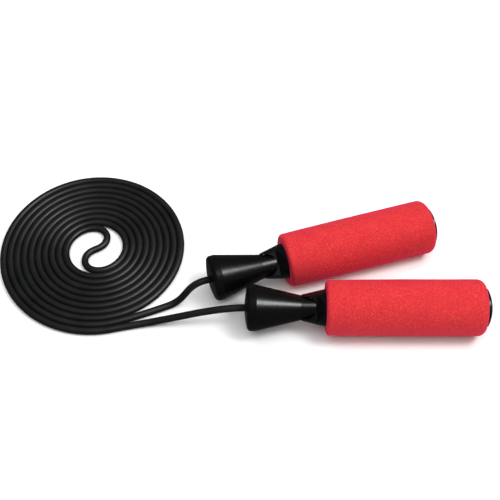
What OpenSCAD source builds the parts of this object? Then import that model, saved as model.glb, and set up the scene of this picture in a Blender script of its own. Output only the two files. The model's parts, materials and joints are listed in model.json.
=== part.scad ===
// Jump rope with two ball-bearing swivel handles and a PVC cord.
// The cord lies wound in a flat two-arm spiral, and both handles lie on their foam grips.
// The frame: Z is up from the floor, the origin is the middle of the two handles' footprint,
// and the front handle points along +X, from its nose to its end cap.

/* [Cord] */
// Diameter of the cord
cord_d = 5; // [4:0.1:5]
// Distance between the middles of neighbouring turns in the coil
turn_pitch = 5.05; // [5:0.05:5.4]
// Play between the cord and the swivel bush, on the radius
cord_play = 0.25; // [0.15:0.05:0.4]

/* [Nozzle] */
// Diameter of the nose ring, the widest part of the nozzle
nose_d = 32; // [30.4:0.2:38.4]
// Length of the nose ring, from its domed face to its rear edge
nose_len = 8.5; // [8:0.5:10.5]
// Radius of the dome across the nose
nose_dome_r = 55; // [40:1:90]
// Rounding of the nose ring's front edge
nose_round = 2.8; // [1:0.1:3]
// Diameter of the hole in the nose ring's lip
lip_hole_d = 16.4; // [15:0.2:17.6]
// Depth of the lip's rear face, where the bearing starts
lip_back = 3.6; // [3:0.1:4.5]
// Length of the nozzle, from the nose to the waist
nozzle_len = 38.5; // [36:0.5:50]
// Diameter at the waist, the narrowest part of the handle
waist_d = 17.2; // [16.4:0.2:20.6]
// Least wall of the nozzle
nozzle_wall = 2; // [1.4:0.1:2.4]
// Depth of the rope chamber behind the bearing, up to the core's spigot
chamber_len = 16.5; // [14.5:0.5:17]
// Length of the two tongues that key the nozzle to the shoulder
tongue_len = 10.4; // [9:0.1:12]
// Taper of the tongues, on the radius, from the waist to their tips
tongue_taper = 1; // [0.4:0.1:1.2]

/* [Core tube] */
// Outer diameter of the tube under the foam
core_d = 24; // [22:0.5:26]
// Wall of the tube
core_wall = 2; // [1.2:0.1:3]
// Length of the shoulder, from the waist to the foam
shoulder_len = 17; // [14:0.5:22]
// How far the shoulder stands out past the waist, on the radius
shoulder_step = 0.6; // [0.3:0.1:2]
// How far the shoulder's flange stands out past the tube, on the radius
flange_lip = 0.9; // [0.5:0.1:3]
// Bore of the spigot that plugs into the nozzle
spigot_bore = 9.2; // [8.8:0.1:9.4]

/* [Foam grip] */
// Outer diameter of the foam
foam_d = 39.2; // [32.6:0.2:48]
// Length of the foam
foam_len = 108.8; // [90:0.2:140]
// Rounding of the foam's edge beside the shoulder
foam_front_round = 2.7; // [1:0.1:3.5]
// Rounding of the foam's edge at the end cap
foam_rear_round = 5.5; // [1:0.1:5.8]

/* [End cap] */
// How far the cap's flange stands out past the tube, on the radius
cap_lip = 1.2; // [0.5:0.1:1.5]
// Height of the flange's straight edge
cap_rim_t = 1.4; // [0.6:0.1:2.5]
// Radius of the end cap's dome
cap_dome_r = 28.5; // [22:0.5:60]
// Length of the plug inside the tube
cap_plug_len = 12; // [6:0.5:20]
// Wall of the plug
cap_wall = 1.8; // [1:0.1:2.5]

/* [Bearing] */
// Outer diameter of the outer race
bearing_od = 22; // [22:0.1:22.4]
// Bore of the inner race
bearing_bore = 8; // [7.6:0.1:8.2]
// Width of both races
bearing_w = 7; // [6:0.1:7.5]
// Diameter of a ball
ball_d = 3.97; // [3.6:0.01:4]
// Number of balls
ball_count = 7; // [5:1:8]

/* [Rope stop] */
// Outer diameter of the bush's flange and of the washer behind it
flange_d = 12; // [10.8:0.2:13]
// Thickness of the bush's flange
flange_t = 1.8; // [1.2:0.1:2.4]
// Thickness of the steel washer
washer_t = 1; // [0.8:0.1:1.5]
// Outer diameter of the crimped ferrule
ferrule_d = 8.4; // [7.4:0.1:9]
// Length of the ferrule
ferrule_len = 9; // [6:0.5:9.5]

/* [Hidden] */
$fn = 96;
eps = 0.01;
far = 100;

black_abs = [0.09, 0.09, 0.1];
black_pvc = [0.13, 0.13, 0.14];
red_foam = [0.92, 0.22, 0.28];
steel = [0.72, 0.73, 0.75];

// --- Where the handles lie: the middle of each nose's face, and the turn about Z.
axis_z = foam_d / 2;
front_nose = [-70.5, -34.5];
front_yaw = 0;
rear_nose = [-95.5, -11.5];
rear_yaw = 16.5;

// --- Along a handle: distances from the tip of the nose.
seat_back = lip_back + bearing_w;
bearing_mid = lip_back + bearing_w / 2;
waist_at = nozzle_len;
foam_at = waist_at + shoulder_len;
foam_end = foam_at + foam_len;
spigot_at = seat_back + chamber_len;
bush_back = seat_back + flange_t;
washer_back = bush_back + washer_t;
ferrule_back = washer_back + ferrule_len;
cord_tail = 1.6;

// --- Radii about the handle's axis, and the clearances between its pieces.
slip = 0.05;
gap = 0.3;
cord_r = cord_d / 2;
nose_r = nose_d / 2;
lip_r = lip_hole_d / 2;
waist_r = waist_d / 2;
core_r = core_d / 2;
cap_at = foam_end + slip;
bore_r = core_r - core_wall;
foam_r = foam_d / 2;
ring_bevel = 0.3;
cone_front_r = nose_r - ring_bevel;
collar_r = bearing_od / 2 + nozzle_wall;
spigot_r = waist_r - nozzle_wall - slip;
snap_r = 0.6;
snap_at = spigot_at + 2;
flange_r = core_r + flange_lip;

// --- The bearing.
ball_r = ball_d / 2;
track_r = (bearing_bore + bearing_od) / 4;
groove_r = ball_r + 0.03;
race_gap_r = 1.3;
cage_half_w = ball_r + 0.7;
cage_half_t = race_gap_r - gap;
pocket_r = ball_r + 0.1;

// --- The tongues, one on each side, seen from above and from below.
tongue_turn = 215;
tongue_half_w = waist_r - 0.8;
tongue_straight = tongue_len - tongue_half_w;
tongue_play = 0.15;
tongue_tip_r = waist_r - tongue_taper;
tip_bevel = min(0.4, (nozzle_wall - tongue_taper) / 2);
tip_at = waist_at + tongue_len;

// --- The saddles: a flat beside each tongue's tip, which ramps up to the flange.
saddle_r = (tongue_tip_r + spigot_r) / 2;
flange_t_front = 1;

// --- The cord's coil: two arms, half a turn apart, each two pitches further out per turn.
coil_centre = [-179.3, 26.5];
arm_start_r = 3.3 * turn_pitch;
heart_angle = 103;
outer_arm_end = 1900;
coil_in_r = arm_start_r + turn_pitch * heart_angle / 180 - cord_r;
coil_out_r = arm_start_r + turn_pitch * outer_arm_end / 180 + cord_r;

// --- The cord's route where it isn't coiled.
// Half of the S in the coil's heart, from the inner arm to the middle, about the coil's centre.
heart_half = [
  [-4.4, 18.9], [-0.2, 18.9], [3.7, 17.2], [6.3, 14.3], [7.5, 10.6], [7, 6.5], [5.2, 3.5], [2.8, 1.3]
];
// From the coil's outer arm to the front handle.
front_route = [
  [-167.1, -42.4, 2.5], [-158, -40.2, 2.5], [-147, -38, 2.6], [-136, -36.3, 3.5], [-125, -35.3, 5.8],
  [-114, -34.8, 9], [-103, -34.5, 12.7], [-92, -34.5, 16.1], [-82, -34.5, 18.5]
];
// From the coil's inner arm to the rear handle.
rear_route = [
  [-161.4, -36.1, 2.5], [-151, -32.7, 2.5], [-141, -29, 2.5], [-132.5, -25.7, 2.5], [-124.7, -22.6, 2.6],
  [-120.9, -21.1, 3.1], [-117.2, -19.6, 4.8], [-114.4, -18.4, 7.1], [-111.6, -17.2, 11], [-108.8, -16.1, 14.9],
  [-106, -15, 17.3], [-102.2, -13.6, 19.1]
];

function axis_of(yaw) = [cos(yaw), sin(yaw), 0];
function on_axis(nose, yaw, s) = [nose.x, nose.y, axis_z] + s * axis_of(yaw);
function into_handle(nose, yaw) =
  [for (s = [-3, 5, ferrule_back + cord_tail]) on_axis(nose, yaw, s)];
function turned(p) = [-p.x, -p.y];
function on_floor(p) = [coil_centre.x + p.x, coil_centre.y + p.y, cord_r];
function heart_path() =
  let (n = len(heart_half))
  [for (p = heart_half) on_floor(p), for (i = [1 : n]) on_floor(turned(heart_half[n - i]))];

// --- Sweeping a round tube along a list of points.
function unit(v) = v / norm(v);
function heading(path, i) =
  unit(path[min(i + 1, len(path) - 1)] - path[max(i - 1, 0)]);
function ring(path, i, r, sides) =
  let (t = heading(path, i), side = unit(cross(t, [0, 0, 1])), up = cross(side, t))
  [for (k = [0 : sides - 1])
    let (a = (k + 0.5) * 360 / sides) path[i] + r * (cos(a) * side + sin(a) * up)];

module tube(path, r, sides = 12) {
  rings = len(path);
  points = [for (i = [0 : rings - 1]) each ring(path, i, r, sides)];
  walls = [for (i = [0 : rings - 2], k = [0 : sides - 1])
    let (n = (k + 1) % sides)
    [i * sides + k, i * sides + n, (i + 1) * sides + n, (i + 1) * sides + k]];
  start_cap = [[for (k = [sides - 1 : -1 : 0]) k]];
  end_cap_face = [[for (k = [0 : sides - 1]) (rings - 1) * sides + k]];
  polyhedron(points, concat(walls, start_cap, end_cap_face), convexity = 6);
}

// Puts a piece, drawn along +Z from the nose, where its handle lies.
module in_handle(nose, yaw) {
  translate([nose.x, nose.y, axis_z]) rotate([0, 0, yaw]) rotate([0, 90, 0]) children();
}
module in_front_handle() { in_handle(front_nose, front_yaw) children(); }
module in_rear_handle() { in_handle(rear_nose, rear_yaw) children(); }

// A rectangle in a turned profile: radii r0 to r1, distances z0 to z1.
module band(r0, r1, z0, z1) {
  translate([r0, z0]) square([r1 - r0, z1 - z0]);
}

// The dome across the nose, shared by the ring and the washer in its middle.
module nose_dome() {
  translate([0, nose_dome_r]) circle(r = nose_dome_r, $fn = 360);
}

// --- Cord
module cord_coil() {
  color(black_pvc) translate([coil_centre.x, coil_centre.y, 0]) rotate_extrude() {
    band(coil_in_r + cord_r, coil_out_r - cord_r, 0, cord_d);
    translate([coil_in_r + cord_r, cord_r]) circle(r = cord_r);
    translate([coil_out_r - cord_r, cord_r]) circle(r = cord_r);
  }
}

module cord_heart() {
  color(black_pvc) tube(heart_path(), cord_r);
}

module cord_strand(route, nose, yaw) {
  color(black_pvc) tube(concat(route, into_handle(nose, yaw)), cord_r);
}

// --- Nozzle
module nose_ring() {
  round_at_r = nose_r - nose_round;
  round_at_z = nose_dome_r - sqrt(pow(nose_dome_r - nose_round, 2) - pow(round_at_r, 2));
  reach = nose_dome_r / (nose_dome_r - nose_round);
  dome_edge = [round_at_r * reach, nose_dome_r - (nose_dome_r - round_at_z) * reach];
  past_edge = 3 * dome_edge - 2 * [round_at_r, round_at_z];
  color(black_abs) rotate_extrude() difference() {
    intersection() {
      band(lip_r, nose_r, 0, nose_len);
      nose_dome();
    }
    difference() {
      polygon([[round_at_r, round_at_z], past_edge, [far, -far], [far, round_at_z]]);
      translate([round_at_r, round_at_z]) circle(r = nose_round);
    }
    band(0, collar_r + slip, lip_back, nose_len + 1);
    polygon([[nose_r, nose_len - 2 * ring_bevel], [nose_r + 1, nose_len - 2 * ring_bevel],
      [nose_r + 1, nose_len + 1], [nose_r - 1, nose_len + 1], [cone_front_r, nose_len]]);
  }
}

module tongue_outline(play) {
  translate([0, waist_at + tongue_straight]) circle(r = tongue_half_w + play);
  translate([-tongue_half_w - play, waist_at - 2])
    square([2 * (tongue_half_w + play), tongue_straight + 2]);
}

// Both tongues' outline, carried through the handle along the tongues' direction.
module tongue_prism(play) {
  rotate([0, 0, tongue_turn + 90]) rotate([90, 0, 0])
    linear_extrude(height = 2 * far, center = true) tongue_outline(play);
}

// What is cut off the shoulder beside each tongue's tip.
module saddle_cuts() {
  for (side = [0, 180])
    rotate([0, 0, tongue_turn + side]) rotate([90, 0, 0])
      linear_extrude(height = 2 * far, center = true)
        polygon([[saddle_r, waist_at - 1], [saddle_r, tip_at + tongue_play + gap],
          [flange_r, foam_at - flange_t_front], [far, foam_at - flange_t_front], [far, waist_at - 1]]);
}

module nozzle() {
  tongue_in_r = spigot_r + slip;
  color(black_abs) {
    difference() {
      union() {
        rotate_extrude() {
          band(0, collar_r, lip_back, nose_len + eps);
          polygon([[0, nose_len], [cone_front_r, nose_len], [waist_r, waist_at], [0, waist_at]]);
        }
        intersection() {
          rotate_extrude() polygon([[0, waist_at - eps], [waist_r, waist_at - eps],
            [tongue_tip_r, tip_at - tip_bevel], [tongue_tip_r - tip_bevel, tip_at + eps], [0, tip_at + eps]]);
          tongue_prism(0);
        }
      }
      rotate_extrude() {
        band(0, bearing_od / 2, lip_back - 1, seat_back);
        polygon([[0, seat_back - eps], [bearing_od / 2 - 1.2, seat_back - eps],
          [bearing_od / 2 - 2.6, spigot_at], [0, spigot_at]]);
        band(0, tongue_in_r, spigot_at - eps, far);
        translate([spigot_r, snap_at]) circle(r = snap_r + slip);
      }
    }
  }
}

// --- Core tube
module core_tube() {
  flare_at = foam_at - 4;
  color(black_abs) difference() {
    rotate_extrude() {
      band(0, spigot_r, spigot_at + gap, waist_at + 1);
      translate([spigot_r, snap_at]) circle(r = snap_r);
      polygon([[0, waist_at + 0.2], [waist_r, waist_at + 0.2],
        [waist_r + shoulder_step, waist_at + 1.2], [flange_r, foam_at], [0, foam_at]]);
      band(0, core_r, foam_at - 1, cap_at);
    }
    rotate_extrude() {
      band(0, spigot_bore / 2, 0, flare_at);
      polygon([[0, flare_at - eps], [spigot_bore / 2, flare_at - eps],
        [bore_r, flare_at + 8], [0, flare_at + 8]]);
      band(0, bore_r, flare_at + 8 - eps, foam_end + 1);
    }
    difference() {
      tongue_prism(tongue_play);
      cylinder(r = spigot_r, h = 2 * far);
      translate([0, 0, -far]) cylinder(r = 2 * far, h = far + waist_at);
    }
    saddle_cuts();
  }
}

// --- Foam grip
module foam_grip() {
  widest_round = foam_r - core_r - 1;
  f = min(foam_front_round, widest_round);
  b = min(foam_rear_round, widest_round);
  color(red_foam) rotate_extrude() intersection() {
    band(core_r, foam_r, foam_at, foam_end);
    union() {
      band(core_r, foam_r, foam_at + f, foam_end - b);
      band(core_r, foam_r - f, foam_at, foam_at + f + eps);
      band(core_r, foam_r - b, foam_end - b - eps, foam_end);
      translate([foam_r - f, foam_at + f]) circle(r = f);
      translate([foam_r - b, foam_end - b]) circle(r = b);
    }
  }
}

// --- End cap
module end_cap() {
  plug_r = bore_r - slip;
  flange_edge_r = core_r + cap_lip;
  dome_rise = cap_dome_r - sqrt(pow(cap_dome_r, 2) - pow(flange_edge_r, 2));
  apex_at = cap_at + cap_rim_t + dome_rise;
  color(black_abs) rotate_extrude() {
    intersection() {
      band(0, flange_edge_r, cap_at, apex_at + 1);
      translate([0, apex_at - cap_dome_r]) circle(r = cap_dome_r, $fn = 180);
    }
    band(plug_r - cap_wall, plug_r, cap_at - cap_plug_len, cap_at + eps);
  }
}

// --- Bearing
module race(r0, r1) {
  color(steel) rotate_extrude() difference() {
    band(r0, r1, lip_back, seat_back);
    translate([track_r, bearing_mid]) circle(r = groove_r);
  }
}
module outer_race() { race(track_r + race_gap_r, bearing_od / 2); }
module inner_race() { race(bearing_bore / 2, track_r - race_gap_r); }

module around_track() {
  for (i = [0 : ball_count - 1])
    rotate([0, 0, i * 360 / ball_count]) translate([track_r, 0, bearing_mid]) children();
}

module bearing_balls() {
  color(steel) around_track() sphere(r = ball_r);
}

module ball_cage() {
  color("goldenrod") difference() {
    rotate_extrude() band(track_r - cage_half_t, track_r + cage_half_t,
      bearing_mid - cage_half_w, bearing_mid + cage_half_w);
    around_track() rotate([0, 90, 0])
      cylinder(r = pocket_r, h = 3 * cage_half_t, center = true);
  }
}

// --- Swivel bush, with what turns beside it
module swivel_bush() {
  bush_bore_r = cord_r + cord_play;
  mouth_round = bearing_bore / 2 - bush_bore_r - 0.3;
  front = 0.3;
  color(black_abs) rotate_extrude() {
    intersection() {
      band(bush_bore_r, bearing_bore / 2, front, seat_back + eps);
      union() {
        band(bush_bore_r, bearing_bore / 2, front + mouth_round, seat_back + eps);
        band(bush_bore_r + mouth_round, bearing_bore / 2, front, front + mouth_round + eps);
        translate([bush_bore_r + mouth_round, front + mouth_round]) circle(r = mouth_round);
      }
    }
    band(bush_bore_r, flange_d / 2, seat_back, bush_back);
  }
}

module dust_washer() {
  hub_r = track_r - race_gap_r - 0.6;
  back = lip_back - 1.4;
  color(black_abs) rotate_extrude() {
    intersection() {
      band(bearing_bore / 2, lip_r - gap, 0, back);
      nose_dome();
    }
    band(bearing_bore / 2, hub_r, back - eps, lip_back);
  }
}

module thrust_washer() {
  color(steel) rotate_extrude() band(cord_r + cord_play, flange_d / 2, bush_back, washer_back);
}

module rope_ferrule() {
  crimp_r = 0.5;
  color(steel) rotate_extrude() difference() {
    band(cord_r, ferrule_d / 2, washer_back, ferrule_back);
    for (s = [1, 2])
      translate([ferrule_d / 2, washer_back + s * ferrule_len / 3]) circle(r = crimp_r);
  }
}

cord_coil();
cord_heart();
cord_strand(front_route, front_nose, front_yaw);  // cord_front_strand
cord_strand(rear_route, rear_nose, rear_yaw);  // cord_rear_strand

in_front_handle() nose_ring();  // nose_ring_front
in_front_handle() nozzle();  // nozzle_front
in_front_handle() core_tube();  // core_tube_front
in_front_handle() foam_grip();  // foam_grip_front
in_front_handle() end_cap();  // end_cap_front
in_front_handle() outer_race();  // outer_race_front
in_front_handle() inner_race();  // inner_race_front
in_front_handle() bearing_balls();  // bearing_balls_front
in_front_handle() ball_cage();  // ball_cage_front
in_front_handle() swivel_bush();  // swivel_bush_front
in_front_handle() dust_washer();  // dust_washer_front
in_front_handle() thrust_washer();  // thrust_washer_front
in_front_handle() rope_ferrule();  // rope_ferrule_front

in_rear_handle() nose_ring();  // nose_ring_rear
in_rear_handle() nozzle();  // nozzle_rear
in_rear_handle() core_tube();  // core_tube_rear
in_rear_handle() foam_grip();  // foam_grip_rear
in_rear_handle() end_cap();  // end_cap_rear
in_rear_handle() outer_race();  // outer_race_rear
in_rear_handle() inner_race();  // inner_race_rear
in_rear_handle() bearing_balls();  // bearing_balls_rear
in_rear_handle() ball_cage();  // ball_cage_rear
in_rear_handle() swivel_bush();  // swivel_bush_rear
in_rear_handle() dust_washer();  // dust_washer_rear
in_rear_handle() thrust_washer();  // thrust_washer_rear
in_rear_handle() rope_ferrule();  // rope_ferrule_rear
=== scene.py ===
# %% [markdown]
# # A jump rope with foam grips, made in Blender
# This lesson dresses a jump rope: a black PVC cord wound flat on the floor, and two handles
# with red foam grips and black moulded nozzles. The mechanical parts come from a CAD model
# that is loaded as a fixed frame. What is soft, the cord and the foam, is modelled here.
# All lengths are in metres, and the helper `mm` turns millimetres into metres.

# %% Load the frame
import json
import math

import bpy
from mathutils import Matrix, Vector, noise


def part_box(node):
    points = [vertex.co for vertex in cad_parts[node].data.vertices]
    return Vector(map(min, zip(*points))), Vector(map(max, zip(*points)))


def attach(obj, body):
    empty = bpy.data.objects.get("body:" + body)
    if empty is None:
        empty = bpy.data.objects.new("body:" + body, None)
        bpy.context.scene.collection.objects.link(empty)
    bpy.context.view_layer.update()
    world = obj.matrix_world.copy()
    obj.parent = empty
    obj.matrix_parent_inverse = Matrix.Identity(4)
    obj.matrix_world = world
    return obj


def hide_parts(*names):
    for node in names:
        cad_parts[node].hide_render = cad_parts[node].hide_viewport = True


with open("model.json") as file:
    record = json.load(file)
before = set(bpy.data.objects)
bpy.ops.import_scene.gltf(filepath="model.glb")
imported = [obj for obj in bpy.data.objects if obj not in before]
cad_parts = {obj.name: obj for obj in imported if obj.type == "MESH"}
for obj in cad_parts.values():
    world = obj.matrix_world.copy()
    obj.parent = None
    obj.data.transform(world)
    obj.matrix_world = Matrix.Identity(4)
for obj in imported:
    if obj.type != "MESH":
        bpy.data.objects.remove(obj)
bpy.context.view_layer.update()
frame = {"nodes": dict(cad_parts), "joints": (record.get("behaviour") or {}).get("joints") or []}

print("nodes:", len(frame["nodes"]))


def mm(value):
    return value / 1000


# %% [markdown]
# ## Where the handles lie
# Each handle swivels about its own long axis, and the CAD model states that axis as a joint.
# Every length along a handle is measured from the tip of its nose, which is the joint's
# point. So one small function, `on_axis`, places anything on either handle.

# %% The handles' axes
joints = {joint["name"]: joint for joint in frame["joints"]}
nose = {side: Vector(joints["swivel_" + side]["pos_m"]) for side in ("front", "rear")}
axis = {side: Vector(joints["swivel_" + side]["axis"]).normalized() for side in ("front", "rear")}


def on_axis(side, distance):
    return nose[side] + axis[side] * distance


print("noses:", {side: tuple(round(x, 4) for x in point) for side, point in nose.items()})

# %% [markdown]
# ## The camera
# A product shot of something lying flat is taken from well above it. A 72 mm lens on a
# 36 mm sensor keeps the handles' outlines nearly straight, and still lets the near side of
# the coil look larger than its far side.

# %% Camera
ELEVATION = math.radians(55)
LOOK_AT = Vector((mm(-66.6), mm(27.35), 0))
DISTANCE = mm(735)

camera_data = bpy.data.cameras.new("camera")
camera_data.lens = 72
camera_data.sensor_width = 36
camera_data.clip_start = mm(20)
camera = bpy.data.objects.new("camera", camera_data)
bpy.context.collection.objects.link(camera)
camera.location = LOOK_AT + DISTANCE * Vector((0, -math.cos(ELEVATION), math.sin(ELEVATION)))
camera.rotation_euler = (math.pi / 2 - ELEVATION, 0, 0)
bpy.context.scene.camera = camera
print("camera at", tuple(round(x, 3) for x in camera.location))

# %% [markdown]
# ## The cord's route
# The cord is one piece from end to end. Somebody has folded it in half, laid the fold on the
# table and turned both halves round it, so the coil is a spiral with two arms, half a turn
# apart, and the fold is the S in its heart. An arm moves out by two pitches in each turn,
# because the other arm lies in between. A loop works out the turns, and the S and the two
# free strands are short lists of points.

# %% Route of the cord
CORD_D = mm(5)
CORD_R = CORD_D / 2
COIL_CENTRE = Vector((mm(-179.3), mm(26.5), CORD_R))
TURN_PITCH = mm(5.05)
ARM_START_R = 3.3 * TURN_PITCH
HEART_ANGLE = 103
INNER_ARM_END = 1726
OUTER_ARM_END = 1900
STEPS_PER_TURN = 48
CORD_END = mm(24)
HELD_AT = (mm(-3), mm(5), mm(14), CORD_END)

# Half of the S, from the inner arm to the middle, about the coil's centre, in mm.
HEART_HALF = [
    (-4.4, 18.9), (-0.2, 18.9), (3.7, 17.2), (6.3, 14.3), (7.5, 10.6), (7, 6.5), (5.2, 3.5), (2.8, 1.3),
]
# From the coil's outer arm to the front handle, in mm.
FRONT_ROUTE = [
    (-167.1, -42.4, 2.5), (-158, -40.2, 2.5), (-147, -38, 2.6), (-136, -36.3, 3.5), (-125, -35.3, 5.8),
    (-114, -34.8, 9), (-103, -34.5, 12.7), (-92, -34.5, 16.1), (-82, -34.5, 18.5),
]
# From the coil's inner arm to the rear handle, in mm.
REAR_ROUTE = [
    (-161.4, -36.1, 2.5), (-151, -32.7, 2.5), (-141, -29, 2.5), (-132.5, -25.7, 2.5),
    (-124.7, -22.6, 2.6), (-120.9, -21.1, 3.1), (-117.2, -19.6, 4.8), (-114.4, -18.4, 7.1),
    (-111.6, -17.2, 11), (-108.8, -16.1, 14.9), (-106, -15, 17.3), (-102.2, -13.6, 19.1),
]


def arm(end_angle, turned):
    """One arm of the spiral, from the heart outwards, turned by an angle about the centre."""
    steps = round((end_angle - HEART_ANGLE) / 360 * STEPS_PER_TURN)
    points = []
    for step in range(1, steps + 1):
        angle = HEART_ANGLE + (end_angle - HEART_ANGLE) * step / steps
        radius = ARM_START_R + TURN_PITCH * angle / 180
        around = math.radians(angle + turned)
        points.append(COIL_CENTRE + radius * Vector((math.cos(around), math.sin(around), 0)))
    return points


def strand(route, side):
    """A free strand, from where it leaves the coil into its handle."""
    laid = [Vector((mm(x), mm(y), mm(z))) for x, y, z in route[1:]]
    held = [on_axis(side, distance) for distance in HELD_AT]
    return laid + held


first_half = [COIL_CENTRE + Vector((mm(x), mm(y), 0)) for x, y in HEART_HALF]
second_half = [COIL_CENTRE - Vector((mm(x), mm(y), 0)) for x, y in reversed(HEART_HALF)]
rear_half = strand(REAR_ROUTE, "rear")[::-1] + arm(INNER_ARM_END, 0)[::-1]
front_half = arm(OUTER_ARM_END, 180) + strand(FRONT_ROUTE, "front")
route = rear_half + first_half + second_half + front_half

# %% [markdown]
# ## The cord as a curve
# A curve with a round bevel is the natural way to make a cord: its own line is the cord's
# centreline, and the bevel depth times a point's own radius is its thickness. The depth is
# one here and each point holds the cord's real radius. A NURBS spline runs smoothly past its
# points, so the listed stretches have no kinks where they join the coil.

# %% Cord
cord_curve = bpy.data.curves.new("pvc_cord", "CURVE")
cord_curve.dimensions = "3D"
cord_curve.bevel_depth = 1
cord_curve.bevel_resolution = 5
cord_curve.resolution_u = 4
cord_curve.use_fill_caps = True
spline = cord_curve.splines.new("NURBS")
spline.points.add(len(route) - 1)
for point, place in zip(spline.points, route):
    point.co = (*place, 1)
    point.radius = CORD_R
spline.order_u = 4
spline.use_endpoint_u = True
spline.use_smooth = True

pvc_cord = bpy.data.objects.new("pvc_cord", cord_curve)
bpy.context.collection.objects.link(pvc_cord)
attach(pvc_cord, "rope")
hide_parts("cord_coil", "cord_heart", "cord_front_strand", "cord_rear_strand")

# %% [markdown]
# ## The foam grips
# A foam grip is cut from an extruded tube of closed-cell foam and pushed over the plastic
# core with a little soap. It is round and nearly straight, but not exactly: the skin is
# open where cells were cut, and the tube is a touch fuller towards its rear end.
# A profile turned about the handle's axis gives the shape, and small smooth noise along the
# surface gives the unevenness that a hand would feel. It stays inside the CAD model's solid.

# %% Foam shape
FOAM_SEGMENTS = 144
FOAM_STEP = mm(0.9)
FOAM_UNEVEN = mm(0.16)
FOAM_CELLS = mm(0.05)
FOAM_LEAN = mm(0.9)
FULLEST_AT = 0.72
SLOW_WAVES = 45
QUICK_WAVES = 330
FRONT_FACE_STEPS = 5
REAR_FACE_STEPS = 3
CORE_R = mm(12)
FRONT_ROUND = mm(2.7)
REAR_ROUND = mm(5.5)


def arc(centre, radius, start, end, steps):
    """Points of an arc in a profile, as (distance along the axis, radius), angles in degrees."""
    angles = [math.radians(start + (end - start) * k / steps) for k in range(steps + 1)]
    return [(centre[0] + radius * math.cos(a), centre[1] + radius * math.sin(a)) for a in angles]


def foam_profile(start, end, radius):
    """The grip's outline, from the core at its front face to the core at its rear face."""
    front = arc((start + FRONT_ROUND, radius - FRONT_ROUND), FRONT_ROUND, 180, 90, 6)
    rear = arc((end - REAR_ROUND, radius - REAR_ROUND), REAR_ROUND, 90, 0, 9)
    front_rise = front[0][1] - CORE_R
    rear_fall = CORE_R - rear[-1][1]
    front_face = [(start, CORE_R + front_rise * k / FRONT_FACE_STEPS) for k in range(FRONT_FACE_STEPS)]
    rear_face = [(end, rear[-1][1] + rear_fall * k / REAR_FACE_STEPS)
                 for k in range(1, REAR_FACE_STEPS + 1)]
    length = rear[0][0] - front[-1][0]
    steps = round(length / FOAM_STEP)
    wall = [(front[-1][0] + length * k / steps, radius) for k in range(1, steps)]
    return front_face + front + wall + rear + rear_face


def dent(place, depth_share):
    """How far the foam's skin lies below its nominal surface at a place."""
    slow = 0.5 + 0.5 * noise.noise(place * SLOW_WAVES)
    quick = 0.5 + 0.5 * noise.noise(place * QUICK_WAVES)
    return depth_share * (FOAM_UNEVEN * slow + FOAM_CELLS * quick)


def foam_mesh(name, side, profile):
    """The grip's closed skin: the profile turned about the handle's axis, bore included."""
    start, end = profile[0][0], profile[-1][0]
    across = Vector((0, 0, 1))
    other = axis[side].cross(across)
    points = []
    for distance, radius in profile:
        skin = min(1, (radius - CORE_R) / mm(1))
        lean = FOAM_LEAN * skin * ((distance - start) / (end - start) - FULLEST_AT) ** 2
        for k in range(FOAM_SEGMENTS):
            turn = 2 * math.pi * k / FOAM_SEGMENTS
            out = across * math.cos(turn) + other * math.sin(turn)
            surface = on_axis(side, distance) + out * radius
            points.append(surface - out * (dent(surface, skin) + lean))
    rings = len(profile)
    faces = []
    for i in range(rings):
        for k in range(FOAM_SEGMENTS):
            a = i * FOAM_SEGMENTS + k
            b = i * FOAM_SEGMENTS + (k + 1) % FOAM_SEGMENTS
            c = ((i + 1) % rings) * FOAM_SEGMENTS + (k + 1) % FOAM_SEGMENTS
            d = ((i + 1) % rings) * FOAM_SEGMENTS + k
            faces.append((a, b, c, d))
    mesh = bpy.data.meshes.new(name)
    mesh.from_pydata(points, [], faces)
    mesh.polygons.foreach_set("use_smooth", [True] * len(faces))
    mesh.validate()
    mesh.update()
    return mesh


# %% Foam grips on both handles
low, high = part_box("foam_grip_front")
foam_start = low[0] - nose["front"].x
foam_end = high[0] - nose["front"].x
foam_radius = (high[2] - low[2]) / 2
print("foam from", round(foam_start, 4), "to", round(foam_end, 4), "radius", round(foam_radius, 4))

foam_grips = {}
for side in ("front", "rear"):
    name = "foam_sleeve_" + side
    profile = foam_profile(foam_start, foam_end, foam_radius)
    grip = bpy.data.objects.new(name, foam_mesh(name, side, profile))
    bpy.context.collection.objects.link(grip)
    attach(grip, "handle_" + side)
    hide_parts("foam_grip_" + side)
    foam_grips[side] = grip
print("foam faces:", len(foam_grips["front"].data.polygons))

# %% [markdown]
# ## Helpers for materials
# Colours are written as sRGB hex values, as a paint chart gives them, and shaders work with
# linear light, so one function turns the first into the second. Another adds a node with
# its settings and its links. Every material starts from a Principled BSDF.

# %% Material helpers


def linear(hex_colour):
    """The linear RGBA of an sRGB hex colour."""
    channels = [int(hex_colour[i:i + 2], 16) / 255 for i in (1, 3, 5)]
    return [c / 12.92 if c <= 0.04045 else ((c + 0.055) / 1.055) ** 2.4 for c in channels] + [1.0]


def add(tree, kind, values=None, links=None, **settings):
    """Adds a node with its settings, its sockets' values and the links into its sockets."""
    node = tree.nodes.new(kind)
    for name, value in settings.items():
        setattr(node, name, value)
    for socket, value in (values or {}).items():
        node.inputs[socket].default_value = value
    for socket, source in (links or {}).items():
        tree.links.new(source, node.inputs[socket])
    return node


def new_material(name, roughness, ior, **shader_values):
    """A material with its shader's plain values set, and the object's own coordinates."""
    material = bpy.data.materials.new(name)
    material.use_nodes = True
    tree = material.node_tree
    shader = tree.nodes["Principled BSDF"]
    shader.inputs["Roughness"].default_value = roughness
    shader.inputs["IOR"].default_value = ior
    for socket, value in shader_values.items():
        shader.inputs[socket.replace("_", " ")].default_value = value
    coords = tree.nodes.new("ShaderNodeTexCoord")
    return material, tree, shader, coords.outputs["Object"]


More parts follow.
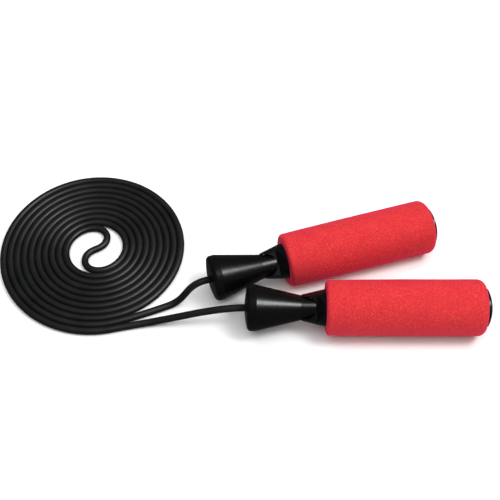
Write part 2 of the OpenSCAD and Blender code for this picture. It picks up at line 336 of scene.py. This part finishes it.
def ramp(tree, source, stops):
    """A colour ramp: stops are (position, hex colour or grey level)."""
    node = add(tree, "ShaderNodeValToRGB", links={"Fac": source})
    elements = node.color_ramp.elements
    for element, (position, colour) in zip(elements, (stops[0], stops[-1])):
        element.position = position
        element.color = linear(colour) if isinstance(colour, str) else (colour, colour, colour, 1)
    for position, colour in stops[1:-1]:
        element = elements.new(position)
        element.color = linear(colour) if isinstance(colour, str) else (colour, colour, colour, 1)
    return node.outputs["Color"]


def dress(material, *objects):
    """Puts one material on every slot of the objects."""
    for obj in objects:
        obj.data.materials.clear()
        obj.data.materials.append(material)


# %% [markdown]
# ## Closed-cell foam
# The grip is closed-cell nitrile-PVC foam, extruded and cut. Light goes into the cut cells
# and comes back soft and even, so there is hardly a highlight: the roughness is high, and a
# little pink sheen lightens the edges. Real cells are 0.2 to 0.5 mm across. They are drawn
# here 0.4 and 0.8 mm apart, so that they show: each has a more orange rim, and its pit is darkened with
# painted shade.

# %% Foam material
CELL = mm(0.8)
FINE_CELL = mm(0.4)
WARP_SPAN = mm(3)
WARP = 0.0006
MOTTLE = mm(9)

foam, tree, shader, place = new_material("nitrile_foam_cut_cells", 0.85, 1.4,
                                         Specular_IOR_Level=0.2, Sheen_Weight=0.4, Sheen_Roughness=0.5)
shader.inputs["Sheen Tint"].default_value = linear("#FF2C84")
warp = add(tree, "ShaderNodeTexNoise", {"Scale": 1 / WARP_SPAN, "Detail": 2.0}, {"Vector": place})
warped = add(tree, "ShaderNodeMixRGB", {"Fac": WARP},
             {"Color1": place, "Color2": warp.outputs["Color"]}, blend_type="ADD")
cells = add(tree, "ShaderNodeTexVoronoi", {"Scale": 1 / CELL},
            {"Vector": warped.outputs["Color"]}, feature="F1")
fine = add(tree, "ShaderNodeTexVoronoi", {"Scale": 1 / FINE_CELL},
           {"Vector": warped.outputs["Color"]}, feature="F1")
mottle = add(tree, "ShaderNodeTexNoise", {"Scale": 1 / MOTTLE, "Detail": 5.0, "Roughness": 0.6},
             {"Vector": place})
# Painted shade: the colour darkens towards each cell's pit, where shade would fall.
cell_colour_and_pit_shade = ramp(tree, cells.outputs["Distance"],
                 [(0.0, "#C0202F"), (0.35, "#C92B35"), (0.75, "#D13A38")])
speck = ramp(tree, fine.outputs["Color"], [(0.80, 0.0), (0.95, 1.0)])
speckled = add(tree, "ShaderNodeMixRGB", {"Color2": linear("#E2604A")},
               {"Color1": cell_colour_and_pit_shade, "Fac": speck})
tone = ramp(tree, mottle.outputs["Fac"], [(0.3, "#F3EFF0"), (0.7, "#FFFFFF")])
coloured = add(tree, "ShaderNodeMixRGB", {"Fac": 1.0},
               {"Color1": speckled.outputs["Color"], "Color2": tone}, blend_type="MULTIPLY")
tree.links.new(coloured.outputs["Color"], shader.inputs["Base Color"])
pits = add(tree, "ShaderNodeBump", {"Strength": 0.3, "Distance": mm(0.12)},
           {"Height": cells.outputs["Distance"]})
grain = add(tree, "ShaderNodeBump", {"Strength": 0.25, "Distance": mm(0.06)},
            {"Height": fine.outputs["Distance"], "Normal": pits.outputs["Normal"]})
tree.links.new(grain.outputs["Normal"], shader.inputs["Normal"])
dress(foam, *foam_grips.values())
print("foam cells every", CELL * 1000, "mm")

# %% [markdown]
# ## Moulded ABS
# Nozzle, nose ring, shoulder and end cap are injection-moulded ABS, dyed black right
# through. The steel mould was spark-eroded to a fine satin, so the highlight is broad and
# soft but the plastic still shows what is above it. Handling polishes it in patches, which
# is drawn as a slow change of roughness.

# %% ABS material
SPARK_GRAIN = mm(0.35)
HANDLED_PATCH = mm(14)


def moulded_abs(name, colour, roughness):
    """Black moulded plastic: spark-eroded grain, and patches that hands have polished."""
    material, tree, shader, place = new_material(name, roughness, 1.54, Specular_IOR_Level=0.45)
    grain = add(tree, "ShaderNodeTexNoise", {"Scale": 1 / SPARK_GRAIN, "Detail": 3.0},
                {"Vector": place})
    handling = add(tree, "ShaderNodeTexNoise", {"Scale": 1 / HANDLED_PATCH, "Detail": 4.0},
                   {"Vector": place})
    polish = add(tree, "ShaderNodeMapRange",
                 {"From Min": 0.35, "From Max": 0.7,
                  "To Min": roughness - 0.03, "To Max": roughness + 0.05},
                 {"Value": handling.outputs["Fac"]})
    dust = ramp(tree, grain.outputs["Fac"], [(0.35, colour), (0.8, "#0B0B0C")])
    bump = add(tree, "ShaderNodeBump", {"Strength": 0.18, "Distance": mm(0.04)},
               {"Height": grain.outputs["Fac"]})
    tree.links.new(dust, shader.inputs["Base Color"])
    tree.links.new(polish.outputs["Result"], shader.inputs["Roughness"])
    tree.links.new(bump.outputs["Normal"], shader.inputs["Normal"])
    return material


abs_black = moulded_abs("abs_moulded_satin_black", "#040405", 0.28)
for side in ("front", "rear"):
    for part in ("nose_ring_", "nozzle_", "core_tube_", "end_cap_", "dust_washer_"):
        dress(abs_black, frame["nodes"][part + side])
print("ABS grain", SPARK_GRAIN * 1000, "mm")

# %% [markdown]
# ## Extruded PVC
# The cord is soft PVC pushed through a round die. The die leaves faint lines along the
# cord, too fine to show here, and the soft plastic is satin between them. A fine grain
# stands for those lines. The PVC is dyed black, with a greyish bloom where it was wound.

# %% PVC material
BLOOM_PATCH = mm(11)
SKIN_GRAIN = mm(0.8)

pvc, tree, shader, place = new_material("pvc_extruded_black", 0.48, 1.53, Specular_IOR_Level=1.0)
bloom = add(tree, "ShaderNodeTexNoise", {"Scale": 1 / BLOOM_PATCH, "Detail": 4.0}, {"Vector": place})
skin = add(tree, "ShaderNodeTexNoise", {"Scale": 1 / SKIN_GRAIN, "Detail": 3.0}, {"Vector": place})
tone = ramp(tree, bloom.outputs["Fac"], [(0.3, "#09090A"), (0.7, "#0F0F10")])
polish = add(tree, "ShaderNodeMapRange",
             {"From Min": 0.3, "From Max": 0.7, "To Min": 0.44, "To Max": 0.54},
             {"Value": bloom.outputs["Fac"]})
bump = add(tree, "ShaderNodeBump", {"Strength": 0.15, "Distance": mm(0.05)},
           {"Height": skin.outputs["Fac"]})
tree.links.new(tone, shader.inputs["Base Color"])
tree.links.new(polish.outputs["Result"], shader.inputs["Roughness"])
tree.links.new(bump.outputs["Normal"], shader.inputs["Normal"])
dress(pvc, pvc_cord)
print("PVC bloom every", BLOOM_PATCH * 1000, "mm")

# %% [markdown]
# ## The pieces inside the nozzle
# The bearing's races and balls are ground steel, its cage is pressed brass, the washer is
# zinc-plated and the ferrule is crimped aluminium. The bush that turns in the bearing is
# black acetal. They are small and mostly hidden, but a look down the mouth or a cut-away
# shows them, so each has the marks of how it was made.

# %% Materials of the inner pieces


def metal(name, colour, dark, roughness, grain_size):
    """A bare metal with the marks of its making, in tone, gloss and a very shallow bump."""
    material, tree, shader, place = new_material(name, roughness, 1.5, Metallic=1.0)
    marks = add(tree, "ShaderNodeTexNoise", {"Scale": 1 / grain_size, "Detail": 5.0}, {"Vector": place})
    tone = ramp(tree, marks.outputs["Fac"], [(0.3, dark), (0.7, colour)])
    spread = add(tree, "ShaderNodeMapRange", {"To Min": roughness * 0.7, "To Max": roughness * 1.4},
                 {"Value": marks.outputs["Fac"]})
    bump = add(tree, "ShaderNodeBump", {"Strength": 0.1, "Distance": mm(0.02)},
               {"Height": marks.outputs["Fac"]})
    tree.links.new(tone, shader.inputs["Base Color"])
    tree.links.new(spread.outputs["Result"], shader.inputs["Roughness"])
    tree.links.new(bump.outputs["Normal"], shader.inputs["Normal"])
    return material


inside = {
    "outer_race_": metal("bearing_steel_ground", "#D5D7DA", "#B4B6BA", 0.22, mm(0.3)),
    "bearing_balls_": metal("bearing_steel_lapped", "#E4E6E8", "#CDCFD2", 0.08, mm(0.5)),
    "ball_cage_": metal("brass_pressed", "#D9B36A", "#B08A45", 0.3, mm(0.4)),
    "thrust_washer_": metal("zinc_plated_steel", "#C3C8CE", "#A3A9B2", 0.32, mm(0.6)),
    "rope_ferrule_": metal("aluminium_crimped", "#D9DADB", "#B9BBBD", 0.35, mm(0.5)),
    "swivel_bush_": moulded_abs("acetal_moulded_black", "#0C0C0D", 0.38),
}
inside["inner_race_"] = inside["outer_race_"]
for part, material in inside.items():
    for side in ("front", "rear"):
        dress(material, frame["nodes"][part + side])
print("inner pieces dressed:", sorted(inside))

# %% [markdown]
# ## Floor and studio light
# The floor is a plain white sheet. A softbox hangs to the upper right, and it draws one
# highlight along each nozzle. A large ceiling panel fills the shadows. The panel and the
# floor are hidden from reflections, and the world adds only a little light, so that black
# plastic stays black.

# %% Floor
HALF_FLOOR = 3
PAPER_FIBRE = mm(2)

corners = [(x * HALF_FLOOR, y * HALF_FLOOR, 0) for x, y in ((-1, -1), (1, -1), (1, 1), (-1, 1))]
floor_mesh = bpy.data.meshes.new("floor")
floor_mesh.from_pydata(corners, [], [(0, 1, 2, 3)])
floor = bpy.data.objects.new("floor", floor_mesh)
bpy.context.collection.objects.link(floor)
paper, tree, shader, place = new_material("seamless_white_paper", 0.75, 1.45)
fibre = add(tree, "ShaderNodeTexNoise", {"Scale": 1 / PAPER_FIBRE, "Detail": 3.0}, {"Vector": place})
white = ramp(tree, fibre.outputs["Fac"], [(0.3, "#F7F7F7"), (0.7, "#FAFAFA")])
tree.links.new(white, shader.inputs["Base Color"])
dress(paper, floor)
floor.visible_glossy = False
print("floor:", 2 * HALF_FLOOR, "m across")

# %% Lights
LIT_POINT = Vector((-0.07, 0, 0))


def softbox(name, place, size, power):
    """A square area light that points at the middle of the object, in metres and watts."""
    light = bpy.data.lights.new(name, "AREA")
    light.shape = "SQUARE"
    light.size = size
    light.energy = power
    lamp = bpy.data.objects.new(name, light)
    lamp.location = place
    lamp.rotation_euler = (LIT_POINT - Vector(place)).to_track_quat("-Z", "Y").to_euler()
    bpy.context.collection.objects.link(lamp)
    return lamp


softbox("key_softbox", (0.43, -0.1, 0.95), 0.32, 5)
ceiling_panel = softbox("ceiling_panel", (-0.07, 0, 1.6), 2.6, 45)
ceiling_panel.visible_glossy = False

world = bpy.data.worlds.new("studio")
bpy.context.scene.world = world
world.use_nodes = True
background = world.node_tree.nodes["Background"]
background.inputs["Color"].default_value = linear("#E8ECF2")
background.inputs["Strength"].default_value = 0.08
bpy.context.scene.view_settings.view_transform = "Standard"
